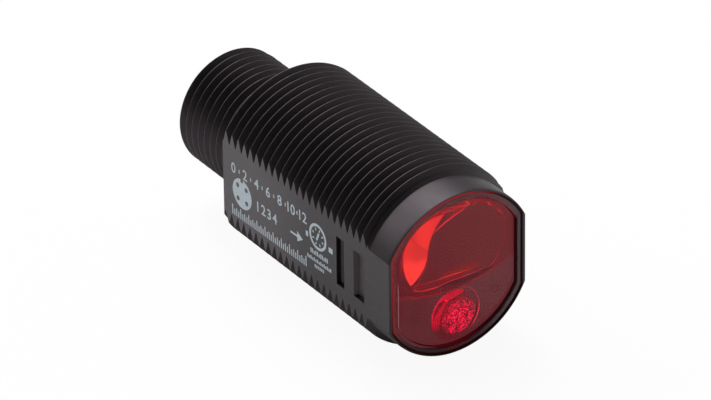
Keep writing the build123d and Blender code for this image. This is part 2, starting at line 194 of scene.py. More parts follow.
class Finish:
    """A material, or the studio's world, that is built node by node."""

    def __init__(self, name, kind="materials"):
        self.owner = getattr(bpy.data, kind).new(name)
        self.owner.use_nodes = True
        self.tree = self.owner.node_tree
        self.tree.nodes.clear()

    def node(self, kind, settings=None, inputs=None, output=0):
        """Adds a node, gives it its settings and then its inputs, and returns one output."""
        made = self.tree.nodes.new("ShaderNode" + kind)
        for setting, value in (settings or {}).items():
            setattr(made, setting, value)
        for key, value in (inputs or {}).items():
            if isinstance(value, Wire):
                self.tree.links.new(value.socket, made.inputs[key])
            else:
                made.inputs[key].default_value = value
        return Wire(self, made.outputs[output]) if made.outputs else made

    def place(self):
        """Where a point of the piece is, in millimetres."""
        where = self.node("TexCoord", output="Object")
        return self.node("VectorMath", {"operation": "SCALE"}, {0: where, "Scale": 1 / MM})

    def axes(self, which):
        """The coordinates named in which, such as YZ, in millimetres."""
        where = self.place()
        return [self.node("SeparateXYZ", None, {0: where}, axis) for axis in which]

    def noise(self, size, detail=2.0, stretch=(1.0, 1.0, 1.0)):
        """Cloudy noise about size millimetres across, from 0 to 1."""
        where = self.node("VectorMath", {"operation": "MULTIPLY"}, {0: self.place(), 1: stretch})
        inputs = {"Vector": where, "Scale": 1.0 / size, "Detail": detail}
        return self.node("TexNoise", None, inputs)

    def mosaic(self, across, up, size):
        """Flat patches about size millimetres across, each at a level of its own from 0 to 1."""
        spot = self.node("CombineXYZ", None, {0: across, 1: up})
        settings = {"voronoi_dimensions": "2D"}
        patch = self.node("TexVoronoi", settings, {"Vector": spot, "Scale": 1.0 / size}, "Color")
        return self.node("SeparateColor", None, {0: patch}, 0)

    def tint(self, mask, first, second):
        """A colour that goes from first to second as mask goes from 0 to 1."""
        colours = {0: mask, 6: opaque(first), 7: opaque(second)}
        return self.node("Mix", {"data_type": "RGBA"}, colours, 2)

    def relief(self, height, strength, depth):
        """Fine relief, up to depth millimetres."""
        inputs = {"Height": height, "Strength": strength, "Distance": depth * MM}
        return self.node("Bump", None, inputs)

    def lay(self, **inputs):
        """The surface itself. Input names are the shader's, with _ for a space."""
        named = {key.replace("_", " "): opaque(value) for key, value in inputs.items()}
        shader = self.node("BsdfPrincipled", None, named)
        self.node("OutputMaterial", None, {"Surface": shader})
        return self.owner


def opaque(value):
    """A colour with its fourth number. Anything else stays as it is."""
    return (*value, 1.0) if isinstance(value, tuple) and len(value) == 3 else value


def moulded_black():
    """Black glass-filled polyester: satin, with a very fine moulded grain."""
    finish = Finish("moulded_black")
    cloud = finish.noise(2.6, 3.0)
    grain = finish.noise(0.09)
    streaks = finish.noise(0.5, stretch=(0.35, 1.0, 1.0))
    x, y = finish.axes("XY")
    # painted sheen: the flats' faces are paler, most of all towards the rear, standing in for the
    # floor they reflect
    painted_sheen = (0.14 + 0.86 * x.ramp(16.0, 4.5)) * (0.8 + 0.4 * cloud)
    painted_sheen = painted_sheen * abs(y).ramp(BARREL_FLAT - 0.03, BARREL_FLAT - 0.01)
    black = finish.tint(cloud.ramp(0.3, 0.7), (0.0080, 0.0066, 0.0075), (0.0125, 0.0103, 0.0117))
    return finish.lay(
        Base_Color=finish.tint(painted_sheen, black, (0.070, 0.065, 0.069)),
        Roughness=0.37 + 0.12 * streaks + 0.08 * cloud + 0.06 * (grain - 0.5),
        Normal=finish.relief(grain + 0.5 * streaks, 0.35, 0.006),
        Specular_Tint=(1.0, 0.84, 0.93),
        IOR=1.52,
    )


def window_clear_red():
    """Polished clear red acrylic: what lies under it shows through its shine."""
    finish = Finish("window_clear_red")
    haze = finish.noise(1.8)
    return finish.lay(
        Base_Color=finish.tint(haze, WINDOW_DARK, WINDOW_LIGHT),
        Roughness=0.06 + 0.02 * haze,
        IOR=1.55,
        Alpha=0.24,
    )


def window_back_red():
    """The window's hidden back, which lets everything through."""
    finish = Finish("window_back_red")
    haze = finish.noise(1.8)
    return finish.lay(
        Base_Color=finish.tint(haze, WINDOW_DARK, WINDOW_LIGHT),
        Roughness=0.5,
        IOR=1.01,
        Alpha=0.02,
    )


def glowing(finish, base, colour, roughness):
    """Red plastic that is seen mostly by painted light, laid on as its emission."""
    return finish.lay(
        Base_Color=base,
        Emission_Color=colour,
        Emission_Strength=1.0,
        Specular_IOR_Level=0.05,
        Roughness=roughness,
    )


def lit_side(y, z):
    """How much light the window's edge gathers: all of it at the upper left, none below."""
    return (0.75 * z - 0.66 * y).ramp(0.10 * WINDOW_RADIUS, 0.90 * WINDOW_RADIUS)


def window_border_red():
    """The raised border: clearest near the dish, with a dim painted glow that is stronger at the left
    and at its foot.
    """
    finish = Finish("window_border_red")
    y, z = finish.axes("YZ")
    along = finish.noise(1.2)
    inset = ((y * y + z * z) ** 0.5 - WINDOW_RADIUS).most(abs(y) - WINDOW_FLAT)
    clear = (0.85 * y - 0.1 * z).ramp(0.15 * WINDOW_RADIUS, 0.60 * WINDOW_RADIUS)
    outer = inset.ramp(-0.50, -0.22)
    outer = outer + clear * (inset.ramp(-0.48, -0.40) - outer)
    glow = (0.0 - y - 0.2 * z).ramp(0.45 * WINDOW_RADIUS, 0.85 * WINDOW_RADIUS)
    glow = glow * z.ramp(-5.2, -3.4) * (0.85 + 0.3 * along)
    foot = abs(y).ramp(1.9, 0.4) * z.ramp(-6.0, -7.0)
    dim = finish.tint(clear, (0.022, 0.011, 0.013), (0.039, 0.026, 0.030))
    return finish.lay(
        Base_Color=finish.tint(along, (0.024, 0.007, 0.008), (0.034, 0.009, 0.010)),
        Emission_Color=finish.tint(glow.most(foot * 0.5), dim, (0.090, 0.004, 0.006)),
        Emission_Strength=1.0,
        Roughness=0.10 + 0.05 * along,
        IOR=1.38,
        Alpha=0.26 + 0.59 * outer,
    )


def window_edge_red(name, dim, lit):
    """The edge and the side of the window, with a painted glow where the red plastic gathers light.
    """
    finish = Finish(name)
    y, z = finish.axes("YZ")
    along = finish.noise(1.2)
    glow = lit_side(y, z) * (0.85 + 0.3 * along)
    base = finish.tint(along, (0.006, 0.001, 0.001), (0.010, 0.002, 0.002))
    return glowing(finish, base, finish.tint(glow, dim, lit), 0.4)


def window_step_red():
    """The step down to the dish: deep red, nearly black, and lost in the glow at the upper left."""
    finish = Finish("window_step_red")
    y, z = finish.axes("YZ")
    along = finish.noise(1.2)
    # a painted glow at the step's foot
    foot = abs(y + 1.0).ramp(4.6, 1.0) * z.ramp(-5.6, -6.6)
    # painted shade: the step is opaque and nearly black on its side turned from the light
    turned_away = (0.71 * y - 0.71 * z).ramp(-0.5 * WINDOW_RADIUS, 0.1 * WINDOW_RADIUS)
    return finish.lay(
        Base_Color=finish.tint(along, (0.003, 0.001, 0.001), (0.005, 0.001, 0.001)),
        Emission_Color=finish.tint(foot, (0.014, 0.002, 0.003), (0.07, 0.001, 0.003)),
        Emission_Strength=1.0,
        Specular_IOR_Level=0.0,
        Roughness=0.5,
        Alpha=0.06 + 0.94 * turned_away,
    )


# distances and masks across the axis, for the lenses
def ring(y, z, centre_y, centre_z, radius):
    """How far outside a circle a point is, in millimetres."""
    dy, dz = y - centre_y, z - centre_z
    return (dy * dy + dz * dz) ** 0.5 - radius


def side_of(y, z, first, second):
    """How far a point is to the right of the line from first to second."""
    along = (Vector(second) - Vector(first)).normalized()
    return (y - first[0]) * along.y - (z - first[1]) * along.x


def within(value, low, high, soft=0.3):
    """1 where a value lies between low and high, fading over soft outside them."""
    return value.ramp(low - soft, low) * value.ramp(high + soft, high)


def hairline(distance, width, soft):
    """1 where a distance is about 0: a line of this width with soft edges."""
    return abs(distance).ramp(width / 2 + soft, max(width / 2 - soft, 0.0))


def streak(y, z, start, end, width, soft):
    """A thin straight line from start to end, fading at its tips."""
    along = Vector(end) - Vector(start)
    length = along.length
    along.normalize()
    reach = (y - start[0]) * along.x + (z - start[1]) * along.y
    return hairline(side_of(y, z, start, end), width, soft) * within(reach, 0.0, length, 0.2)


def arc(y, z, centre_y, centre_z, radius, low, high, width, soft):
    """Part of a thin circle, between two levels of y."""
    line = hairline(ring(y, z, centre_y, centre_z, radius), width, soft)
    return line * within(y, low, high, 0.25)


def brightest(*masks):
    """The most of several masks at each point."""
    most = masks[0]
    for mask in masks[1:]:
        most = most.most(mask)
    return most


def joint_line(y, z):
    """The light that gathers along the joint of the two lenses."""
    left = z.ramp(0.0, -0.3)
    return brightest(
        hairline(ring(y, z, 0.15, 11.99, 14.28), 0.10, 0.08) * z.ramp(1.0, 0.0) * 0.6,
        arc(y, z, -1.40, 7.45, 9.34, -5.2, -1.2, 0.20, 0.10) * left * 0.9,
        streak(y, z, (1.40, -2.22), (2.65, -1.95), 0.08, 0.06) * 0.7,
        streak(y, z, (2.65, -1.95), (4.13, -1.65), 0.08, 0.06),
        streak(y, z, (4.13, -1.65), (5.95, -1.02), 0.08, 0.06),
    )


def glint(y, z):
    """The thin pale line that the lens's straight side shows."""
    return hairline(y + 5.96, 0.03, 0.04) * within(z, -3.7, 0.2, 0.6)


def receiver_red():
    """The receiving lens: dark red, with the light that its steep dome throws back."""
    finish = Finish("receiver_red")
    y, z = finish.axes("YZ")
    cloud = finish.noise(2.4)
    place = (0.5 + 0.07 * y + 0.05 * z + 0.4 * (cloud - 0.5)).ramp(0.0, 1.0)
    body = finish.tint(place, (0.128, 0.007, 0.013), (0.156, 0.017, 0.021))

    # the crescent, where the dome throws light back
    top = ring(y, z, -1.57, 2.15, 4.08)
    left = ring(y, z, -0.01, 2.77, 5.40)
    heel = ring(y, z, -6.13, 3.00, 3.47) - 9.0 * z.ramp(2.8, 3.1)
    right = 0.0 - ring(y, z, 2.45, 2.16, 5.17)
    crescent = top.most(left).most(heel).most(right).ramp(0.05, -0.06)
    shade = ring(y, z, -0.16, 7.28, 4.92)
    glow = finish.tint(z.ramp(3.3, 2.0), (0.98, 0.030, 0.024), (1.34, 0.052, 0.042))
    glow = finish.tint(y.ramp(-4.8, -3.8) * z.ramp(1.6, 2.8), glow, (0.84, 0.024, 0.023))
    upper_glow = finish.tint(y.ramp(-4.6, -3.4), (0.76, 0.020, 0.021), (1.10, 0.032, 0.026))
    upper_glow = finish.tint(y.ramp(-2.8, -1.6), upper_glow, (0.96, 0.026, 0.028))
    glow = finish.tint(shade.ramp(0.04, -0.04), glow, upper_glow)
    glow = finish.tint(within(shade, -0.04, 0.06, 0.10) * 0.6, glow, (0.74, 0.016, 0.018))

    # the painted halo outside it, with a darker hairline inside it
    outside = ring(y, z, -1.19, 2.18, 4.56)
    halo = outside.ramp(0.10, -0.10) * top.most(left).ramp(-0.10, 0.0)
    halo = halo * y.ramp(-0.2, -1.9) * z.ramp(0.6, 2.4)
    dark_hairline = hairline(outside + 0.22, 0.05, 0.04) * within(y, -4.9, -3.4)

    # the fan of fine painted highlight streaks to the right of its tip
    fan = ring(y, z, 0.27, 1.60, 4.92).ramp(0.05, -0.05) * within(y, -1.2, 1.2)
    fan = fan * ring(y, z, -1.75, 10.87, 5.79).ramp(0.05, -0.05)
    streaks = brightest(
        streak(y, z, (-0.78, 6.75), (1.72, 6.20), 0.04, 0.04) * (0.45 + 0.20 * y).ramp(0.0, 1.0),
        streak(y, z, (-0.75, 6.55), (1.60, 6.10), 0.03, 0.04) * 0.40,
        streak(y, z, (-1.05, 6.42), (0.50, 6.14), 0.05, 0.04) * (0.55 - 0.25 * y).ramp(0.0, 1.0),
        arc(y, z, 4.02, -5.93, 12.17, -1.9, 1.3, 0.09, 0.04) * (0.88 - 0.26 * y).ramp(0.0, 1.0),
        arc(y, z, 2.46, -1.90, 8.07, -0.1, 1.2, 0.04, 0.04) * 0.35,
        streak(y, z, (1.60, 6.62), (1.88, 6.24), 0.20, 0.08) * 0.45,
        streak(y, z, (2.38, 5.96), (2.57, 6.11), 0.08, 0.06) * 0.35,
        streak(y, z, (4.00, 5.69), (4.20, 5.37), 0.16, 0.08) * 0.45,
        streak(y, z, (5.13, 4.43), (5.35, 4.20), 0.14, 0.08) * 0.30,
        streak(y, z, (-2.20, 6.42), (-1.46, 6.62), 0.06, 0.05) * 0.35,
    )

    # the outline of the dome in painted highlights: its crown, its right side and its two low lines
    crown = hairline(ring(y, z, 1.25, 1.80, 4.70), 0.28, 0.16) * within(y, 0.4, 3.7)
    side = arc(y, z, -2.54, -2.33, 10.25, 4.3, 5.6, 0.22, 0.12) * 0.6
    shoulder = hairline(ring(y, z, 2.15, 2.25, 3.84), 0.10, 0.06)
    side = side.most(shoulder * y.ramp(3.4, 4.0) * z.ramp(-0.6, 0.2))
    hook = arc(y, z, 3.89, 0.14, 1.26, 3.9, 5.2, 0.08, 0.05) * z.ramp(0.1, -0.3) * 0.30
    crease = arc(y, z, -7.37, 2.75, 4.57, -4.2, -2.6, 0.08, 0.06) * z.ramp(3.2, 2.0) * 0.26
    upper_line = ring(y, z, 2.91, 65.14, 65.81)
    lower_line = ring(y, z, 0.20, 40.0, 41.2)
    lows = brightest(
        hairline(upper_line, 0.05, 0.04) * within(y, -4.1, 2.0, 0.3) * 0.32,
        streak(y, z, (-1.2, -0.51), (1.0, -0.64), 0.08, 0.06) * 0.55,
        streak(y, z, (-2.90, -1.17), (-1.67, -1.28), 0.10, 0.06) * 0.65,
        streak(y, z, (-1.67, -1.28), (-0.44, -1.15), 0.06, 0.05) * 0.42,
        streak(y, z, (-0.44, -1.15), (2.16, -1.20), 0.06, 0.05) * 0.38,
        streak(y, z, (2.16, -1.21), (3.40, -1.14), 0.06, 0.05) * 0.26,
        arc(y, z, -2.60, 1.87, 3.05, -4.1, -2.9, 0.08, 0.06) * z.ramp(0.0, -0.4) * 0.45,
    )
    # painted light between the low lines and a painted sheen above them; painted shade in a band
    # below them
    foot = upper_line.ramp(-0.05, 0.05) * lower_line.ramp(0.05, -0.05) * within(y, -4.0, 1.0, 0.8)
    sheen = upper_line.ramp(-1.2, 0.0) * lower_line.ramp(0.0, -0.1) * within(y, -0.5, 2.2, 1.2)
    sheen = sheen * upper_line.ramp(0.4, 0.0)
    gloom = hairline(ring(y, z, 1.59, 8.91, 10.49), 0.40, 0.14) * within(y, -1.2, 4.0, 0.6)
    gloom = gloom * z.ramp(0.0, -0.6)
    # a faint painted light along the crescent's right side
    trail = within(right, 0.02, 0.16, 0.10) * within(z, 0.2, 4.9, 1.0) * left.ramp(0.0, -0.4)
    bright = brightest(halo * 0.9, crown * 0.7, side * 0.75)

    colour = finish.tint(gloom * 0.9, body, (0.078, 0.007, 0.012))
    colour = finish.tint(joint_line(y, z), colour, JOINT_GLOW_RED)
    colour = finish.tint(sheen * 0.72, colour, (0.33, 0.016, 0.012))
    colour = finish.tint((foot * 0.5).most(fan * 0.15), colour, (0.27, 0.005, 0.010))
    colour = finish.tint(bright, colour, (0.37, 0.008, 0.013))
    colour = finish.tint(dark_hairline * 0.7, colour, (0.13, 0.003, 0.006))
    colour = finish.tint(brightest(streaks, lows, crease, hook), colour, (1.45, 0.026, 0.036))
    colour = finish.tint(glint(y, z), colour, GLINT_PINK)
    colour = finish.tint(trail * 0.5, colour, (0.26, 0.006, 0.014))
    colour = finish.tint(crescent, colour, glow)
    base = finish.tint(crescent, LENS_DARK, (0.08, 0.005, 0.004))
    return glowing(finish, base, colour, 0.25)


def emitter_red():
    """The emitting lens: dark red, with a sparkling dimpled middle over the light source."""
    finish = Finish("emitter_red")
    y, z = finish.axes("YZ")
    cloud = finish.noise(2.0)
    place = (0.35 + 0.07 * y + 0.08 * (z + 4.0) + 0.4 * (cloud - 0.5)).ramp(0.0, 1.0)
    body = finish.tint(place, (0.124, 0.014, 0.020), (0.147, 0.032, 0.038))
    # painted reflection: the body is paler towards the bottom
    body = finish.tint(z.ramp(-1.5, -6.0) * 0.6, body, (0.145, 0.034, 0.040))

    # the round dome, its crimson band and the two arcs at its rim
    dome = ring(y, z, 0.30, -4.78, 2.68)
    inside = dome.ramp(0.05, -0.05)
    hollow = ring(y, z, 1.59, -5.47, 3.01)
    crown = 0.0 - side_of(y, z, (-0.33, -3.21), (1.16, -2.84))
    band = hollow.most(crown).ramp(-0.08, 0.08)
    top = ring(y, z, 0.07, -4.52, 2.26) - 9.0 * z.ramp(-3.0, -3.3)
    band = band * inside * top.ramp(0.06, -0.06) * y.ramp(1.35, 1.10) * z.ramp(-6.3, -4.9)
    gap = ring(y, z, 1.19, -6.13, 3.56).ramp(-0.02, 0.08)
    gap = gap * z.ramp(-2.9, -3.2) * y.ramp(-0.4, -0.9)
    beads = finish.mosaic(y, z, 0.16)
    # a painted highlight just inside the rim at the upper left
    stroke = hairline(dome + 0.12, 0.18, 0.08) * y.ramp(-0.9, -1.2) * z.ramp(-5.4, -4.4)
    low_right = z.ramp(-4.2, -5.4)
    # the rim's painted highlight, brightest at the lower right
    rim = hairline(dome, 0.07, 0.05) * y.ramp(0.2, 1.6) * z.ramp(-7.0, -6.3)
    rim = rim * (0.20 + 0.80 * low_right)
    # a darker arc painted just inside the rim at the lower right
    groove = hairline(dome + 0.22, 0.12, 0.06) * y.ramp(1.6, 2.2) * low_right
    sill = hairline(dome, 0.08, 0.06) * z.ramp(-6.5, -7.0)
    # a small painted glint at the dome's upper left
    small_glint = streak(y, z, (-0.80, -2.98), (-0.62, -3.14), 0.10, 0.06)

    # the dimpled disc, which sparkles most below its middle
    disc = ring(y, z, 0.64, -5.16, 1.92).ramp(0.06, -0.22)
    heart = ring(y, z, 0.85, -5.35, 0.0).ramp(3.2, 0.4) * disc
    sparkle = finish.mosaic(y, z, 0.105) ** 3.0
    flare = finish.mosaic(y, z, 0.24).ramp(0.90, 0.96) * heart.ramp(0.6, 0.9)

    # a painted reflection of the window's edge in the lens at the lower right
    edge_reflection = hairline(ring(y, z, 0.0, 0.0, 7.68), 0.08, 0.08) * within(y, 3.0, 5.7, 0.6)

    deep = finish.tint(z.ramp(-4.8, -6.2), (0.22, 0.006, 0.015), (0.140, 0.015, 0.022))
    colour = finish.tint(inside * y.ramp(2.6, -0.6) * top.ramp(0.06, -0.06), body, deep)
    colour = finish.tint(heart * 0.8, colour, (0.20, 0.006, 0.018))
    colour = finish.tint(heart * sparkle, colour, (2.45, 0.024, 0.130))
    colour = finish.tint(flare * 0.4, colour, (1.90, 0.045, 0.160))
    colour = finish.tint(band * (1.0 - gap), colour, (0.66, 0.005, 0.028))
    colour = finish.tint(stroke * (0.55 + 0.6 * beads).least(1.0), colour, (1.15, 0.010, 0.065))
    colour = finish.tint(small_glint, colour, (1.5, 0.02, 0.09))
    colour = finish.tint(groove * 0.8, colour, (0.045, 0.003, 0.006))
    colour = finish.tint(rim, colour, (1.50, 0.020, 0.090))
    colour = finish.tint(sill * 0.7, colour, (0.21, 0.005, 0.012))
    colour = finish.tint(joint_line(y, z), colour, JOINT_GLOW_RED)
    colour = finish.tint(edge_reflection * 0.5, colour, (0.235, 0.014, 0.020))
    for mark_y, mark_z in ((-4.21, -3.79), (4.80, -3.76)):
        spot = hairline(ring(y, z, mark_y, mark_z, 0.36), 0.16, 0.14)
        colour = finish.tint(spot * 0.40, colour, (0.060, 0.002, 0.004))
    colour = finish.tint(glint(y, z), colour, GLINT_PINK)
    base = finish.tint(inside, LENS_DARK, (0.05, 0.002, 0.004))
    return glowing(finish, base, colour, 0.25)


def rubber_black():
    """Matt sealing rubber."""
    finish = Finish("rubber_black")
    speck = finish.noise(0.12)
    return finish.lay(
        Base_Color=finish.tint(speck, (0.012, 0.011, 0.011), (0.020, 0.019, 0.019)),
        Roughness=0.62 + 0.10 * speck,
        Normal=finish.relief(speck, 0.2, 0.01),
    )


def plain_plastic(name, dark, light, roughness, grain=0.12):
    """A moulded or cast material, evenly coloured."""
    finish = Finish(name)
    speck = finish.noise(grain)
    cloud = finish.noise(1.6)
    return finish.lay(
        Base_Color=finish.tint(cloud, dark, light),
        Roughness=roughness + 0.10 * (speck - 0.5),
        Normal=finish.relief(speck, 0.2, 0.008),
    )


def gold_plate():
    """Gold flash over turned brass: faint rings from the lathe."""
    finish = Finish("gold_plate")
    lathe = finish.noise(0.05, 1.0, stretch=(1.0, 0.02, 0.02))
    cloud = finish.noise(0.8)
    return finish.lay(
        Base_Color=finish.tint(cloud, (0.83, 0.58, 0.22), (0.90, 0.68, 0.32)),
        Metallic=1.0,
        Roughness=0.22 + 0.12 * lathe,
        Normal=finish.relief(lathe, 0.15, 0.004),
    )


def tinned_metal(name, dark, light):
    """Brushed bright metal."""
    finish = Finish(name)
    brushed = finish.noise(0.08, stretch=(0.1, 1.0, 1.0))
    return finish.lay(
        Base_Color=finish.tint(brushed, dark, light),
        Metallic=1.0,
        Roughness=0.30 + 0.15 * brushed,
        Normal=finish.relief(brushed, 0.1, 0.004),
    )


def board_green():
    """Glass-epoxy laminate under green lacquer, with its weave and a few copper tracks."""
    finish = Finish("board_green")
    x, z = finish.axes("XZ")
    weave = (x * 14.0).sine() * (z * 14.0).sine()
    tracks = finish.noise(1.1, 0.0, stretch=(0.4, 1.0, 1.0))
    lines = abs(tracks - 0.5).ramp(0.035, 0.02)
    colour = finish.tint(lines, (0.010, 0.085, 0.030), (0.018, 0.150, 0.050))
    return finish.lay(
        Base_Color=finish.tint(weave.ramp(0.2, 1.0) * 0.3, colour, (0.022, 0.12, 0.05)),
        Roughness=0.35 + 0.1 * weave,
        Normal=finish.relief(lines, 0.3, 0.02),
    )


def ink_grey():
    """Pale blue-grey marking ink, slightly thin in places."""
    finish = Finish("ink_grey")
    thin = finish.noise(0.10, 3.0)
    return finish.lay(
        Base_Color=finish.tint(thin.ramp(0.35, 0.65), (0.48, 0.56, 0.61), (0.58, 0.67, 0.73)),
        Roughness=0.55,
        Normal=finish.relief(thin, 0.1, 0.003),
    )


# ---- Mesh work ----
def placed(name, data):
    """A new object in the scene."""
    made = bpy.data.objects.new(name, data)
    bpy.context.scene.collection.objects.link(made)
    return made


def worked_out(piece):
    """The mesh that an object comes to."""
    seen = piece.evaluated_get(bpy.context.evaluated_depsgraph_get())
    return bpy.data.meshes.new_from_object(seen)


def solid(name, points, faces):
    """A closed mesh object from points in millimetres, still in millimetres."""
    mesh = bpy.data.meshes.new(name)
    mesh.from_pydata([tuple(p) for p in points], [], faces)
    worked = bmesh.new()
    worked.from_mesh(mesh)
    bmesh.ops.remove_doubles(worked, verts=worked.verts, dist=1e-5)
    bmesh.ops.recalc_face_normals(worked, faces=worked.faces)
    worked.to_mesh(mesh)
    worked.free()
    return placed(name, mesh)


def loft(name, rings):
    """A solid through rings of points that all have the same count, capped at both ends."""
    count = len(rings[0])
    points = [p for one in rings for p in one]
    faces = [tuple(range(count))]
    for level in range(len(rings) - 1):
        low, high = level * count, (level + 1) * count
        for i in range(count):
            j = (i + 1) % count
            faces.append((low + i, low + j, high + j, high + i))
    faces.append(tuple(range((len(rings) - 1) * count, len(rings) * count)))
    return solid(name, points, faces)


def circle(x, side, level, radius, steps):
    """A ring of points round a line along X."""
    turn = [2 * pi * i / steps for i in range(steps)]
    return [(x, side + radius * cos(t), level + radius * sin(t)) for t in turn]


def turned(name, profile, steps):
    """A solid of revolution about the barrel axis, from (x, radius) pairs off the axis."""
    return loft(name, [circle(x, 0.0, 0.0, radius, steps) for x, radius in profile])


def double_d(x, radius, half_width, steps=96):
    """A ring of points round a circle with two flats."""
    reach = (radius * radius - half_width * half_width) ** 0.5
    lean = atan(reach / half_width)
    points = []
    for start, end in ((lean, pi - lean), (pi + lean, 2 * pi - lean)):
        for i in range(steps // 2 + 1):
            t = start + (end - start) * i / (steps // 2)
            points.append((x, radius * cos(t), radius * sin(t)))
    return points


def combine(piece, tool, operation):
    """Joins, cuts or keeps the common part of two solids, and uses the tool up."""
    step = piece.modifiers.new("combine", "BOOLEAN")
    step.operation = operation
    step.solver = "MANIFOLD"
    step.object = tool
    made = worked_out(piece)
    piece.modifiers.clear()
    old = piece.data
    made.materials.clear()
    piece.data = made
    bpy.data.meshes.remove(old)
    bpy.data.objects.remove(tool)
    return piece


def box(name, low, high):
    """A block between two corners."""
    (x0, y0, z0), (x1, y1, z1) = low, high
    rings = [[(x, y0, z0), (x, y1, z0), (x, y1, z1), (x, y0, z1)] for x in (x0, x1)]
    return loft(name, rings)


def dress(piece, slot, *materials, replaces):
    """Rids a solid of slivers, scales it to metres, finishes it and hangs it on the part."""
    clean = bmesh.new()
    clean.from_mesh(piece.data)
    bmesh.ops.remove_doubles(clean, verts=clean.verts, dist=SLIVER)
    bmesh.ops.dissolve_degenerate(clean, edges=clean.edges, dist=SLIVER)
    clean.to_mesh(piece.data)
    clean.free()
    piece.data.transform(Matrix.Scale(MM, 4))
    for material in materials:
        piece.data.materials.append(material)
    piece.data.set_sharp_from_angle(angle=radians(SHARP_BEND))
    square = [max(abs(face.normal.x), abs(face.normal.y)) > SQUARE for face in piece.data.polygons]
    piece.data.polygons.foreach_set("use_smooth", [not flat for flat in square])
    piece.data.update()
    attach(piece, "root")
    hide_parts(*replaces)
    return piece


def thread(name, crest, root, first_crest, start, end, steps):
    """A rod with a right-handed thread of 1 mm pitch. Its rows of points follow the helix, over
    a rounded crest, a straight flank and a rounded root."""
    crest_round = 0.09
    root_round = 0.10
    root_centre = root + 0.008 + root_round
    profile = []
    for t in map(radians, (-60, -30, 0, 30, 60)):
        profile.append((crest_round * sin(t), crest - crest_round * (1 - cos(t))))
    for t in map(radians, (60, 20, -20, -60)):
        profile.append((0.5 - root_round * sin(t), root_centre - root_round * cos(t)))
    rows = len(profile)
    last = int(end - start) * rows
    points = []
    index = {}

    def add(row, column):
        along, radius = profile[row % rows]
        t = 2 * pi * column / steps
        x = start + first_crest + row // rows + along + column / steps
        index[row, column] = len(points)
        points.append((x, radius * cos(t), radius * sin(t)))

    for row in range(last + 1):
        for column in range(steps):
            add(row, column)
    for row in range(last + 1, last + rows + 1):
        add(row, 0)
    # a full turn ends one pitch further on, where a later row begins
    for row in range(last + 1):
        index[row, steps] = index[row + rows, 0]
    faces = []
    for row in range(last):
        for column in range(steps):
            below = (index[row, column], index[row, column + 1])
            above = (index[row + 1, column + 1], index[row + 1, column])
            faces.append(below + above)
    # each end closes on a point on the axis
    for row, away in ((0, -1.0), (last, 1.0)):
        loop = [index[row, c] for c in range(steps)]
        loop += [index[row + r, 0] for r in range(rows, 0, -1)]
        middle = len(points)
        points.append((points[loop[0]][0] + away, 0, 0))
        faces += [(loop[i], loop[(i + 1) % len(loop)], middle) for i in range(len(loop))]
    return solid(name, points, faces)


# ---- The barrel ----
def barrel():
    """The threaded barrel with its flats, its head, its open mouth and the slots in the flats."""
    steps = 144
    piece = thread("barrel", BARREL_CREST, BARREL_ROOT, M18_FIRST_CREST, -2.0, 24.0, steps)
    # the thread runs out at a lead-in at the rear and at a shoulder before the head
    shoulder = [(-3.5, 5.35), (0.25, 9.10), (22.80, 9.10), (23.55, 8.35), (23.56, 8.30)]
    combine(piece, turned("shoulder", shoulder, steps), "INTERSECT")
    # the head, with a long shallow bevel round the rim and a rounded corner
    head = [
        (-0.6, BARREL_ROOT),
        (BEVEL_START, BARREL_ROOT),
        (BARREL_FRONT - 0.08, BARREL_ROOT - 0.025),
        (BARREL_FRONT - 0.03, BARREL_ROOT - 0.04),
        (BARREL_FRONT, BARREL_ROOT - 0.075),
    ]
    combine(piece, turned("head", head, steps), "UNION")
    beyond = BARREL_FRONT + 1
    half = [
        (0.0, -BARREL_FLAT),
        (BARREL_FRONT - ROUNDING, -BARREL_FLAT),
        (BARREL_FRONT, -BARREL_FLAT + ROUNDING),
        (beyond, -BARREL_FLAT + ROUNDING),
    ]
    outline = half + [(x, -y) for x, y in reversed(half)]
    slab = loft("slab", [[(x, y, z) for x, y in outline] for z in (-12, 12)])
    combine(piece, slab, "INTERSECT")
    cuts = (
        ("bore", REAR_WALL, BARREL_BORE, BARREL_BORE_FLAT),
        ("mouth", MOUTH_FLOOR, FLANGE_REACH + FLANGE_PLAY, FLANGE_HALF + FLANGE_PLAY),
        ("seat", LEDGE, SEAT_RADIUS, SEAT_HALF),
    )
    for name, floor, radius, half_width in cuts:
        cutter = loft(name, [double_d(x, radius, half_width) for x in (floor, beyond)])
        combine(piece, cutter, "DIFFERENCE")
    hole = turned("hole", [(-1.0, BARREL_HOLE), (2.0, BARREL_HOLE)], steps)
    combine(piece, hole, "DIFFERENCE")
    slot = box("slot", (SLOT_START, -9, -SLOT_HALF), (SLOT_END, 9, SLOT_HALF))
    combine(piece, slot, "DIFFERENCE")
    for side in (-1, 1):
        deep = side * (BARREL_FLAT - BLIND_DEPTH)
        out = side * (BARREL_FLAT + BLIND_DEPTH)
        wedge = [(BLIND_START, out), (BLIND_FLOOR, deep), (BLIND_END, deep), (BLIND_END, out)]
        blind = loft("blind", [[(x, y, z) for x, y in wedge] for z in (-BLIND_HALF, BLIND_HALF)])
        combine(piece, blind, "DIFFERENCE")
    return dress(piece, "housing_plastic", moulded, replaces=["housing"])


# ---- The marking on the flat ----
def disc_points(centre, radius, steps):
    """The points of a round outline on the flat."""
    turn = [2 * pi * i / steps for i in range(steps)]
    return [(centre[0] + radius * cos(t), centre[1] + radius * sin(t)) for t in turn]


def bar_points(start, end, width):
    """The four corners of a straight stroke."""
    start = Vector(start)
    end = Vector(end)
    along = end - start
    across = Vector((-along.y, along.x)).normalized() * (width / 2)
    return [start - across, end - across, end + across, start + across]


def inked(name, outline, holes=()):
    """A film of ink with this outline, on the flat at -Y, with holes through it."""
    film = loft(name, [[(x, y, z) for x, z in outline] for y in (-BARREL_FLAT, -PRINT_FACE)])
    for hole in holes:
        cutter = loft("hole", [[(x, y, z) for x, z in hole] for y in (-8.0, -7.0)])
        combine(film, cutter, "DIFFERENCE")
    return film


